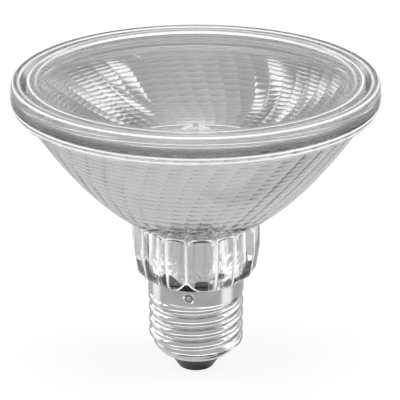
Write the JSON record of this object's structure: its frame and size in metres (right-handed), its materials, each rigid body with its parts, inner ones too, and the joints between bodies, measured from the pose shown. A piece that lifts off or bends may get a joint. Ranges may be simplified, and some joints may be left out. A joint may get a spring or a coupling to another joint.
{
  "type": "halogen reflector lamp bulb",
  "caption": "Halogen reflector lamp with a faceted mirror in a pressed glass bulb, a sunk clear lens, a fluted glass neck and a metal screw cap.",
  "frame": {"origin": "lowest point of the solder on the cap's contact, on the lamp's axis", "axes": "+Z along the lamp's axis from the contact to the lens; -Y towards the front of the picture, where the first punched dent is 8.5 degrees left of it; +X to its right"},
  "size_m": [0.0966, 0.0966, 0.0854],
  "materials": {
    "clear_glass": "clear pressed glass, gloss",
    "quartz": "clear fused quartz, gloss",
    "black_glass": "black glass, satin gloss",
    "mirror_layer": "vacuum-deposited aluminium, mirror bright",
    "silicone": "clear silicone adhesive, satin",
    "cap_metal": "bright rolled sheet",
    "contact_metal": "bright stamped sheet",
    "solder": "tin solder, satin",
    "tungsten": "drawn tungsten wire, satin",
    "molybdenum": "satin",
    "wire_metal": "nickel, bright drawn wire",
    "ceramic": "white ceramic cement, matt",
    "glass_fibre": "braided glass fibre, matt"
  },
  "bodies": {
    "root": {"lens": "clear_glass", "reflector": "clear_glass", "rim_seal": "silicone", "mirror": "mirror_layer", "cap_shell": "cap_metal", "insulator": "black_glass", "contact": "contact_metal", "contact_solder": "solder", "burner": "quartz", "filament": "tungsten", "inner_lead_long": "tungsten", "inner_lead_short": "tungsten", "foil_left": "molybdenum", "foil_right": "molybdenum", "pin_left": "molybdenum", "pin_right": "molybdenum", "burner_cement": "ceramic", "crimp_left": "wire_metal", "crimp_right": "wire_metal", "centre_wire": "wire_metal", "side_wire": "wire_metal", "wire_sleeve": "glass_fibre", "side_weld": "solder"}
  },
  "joints": []
}
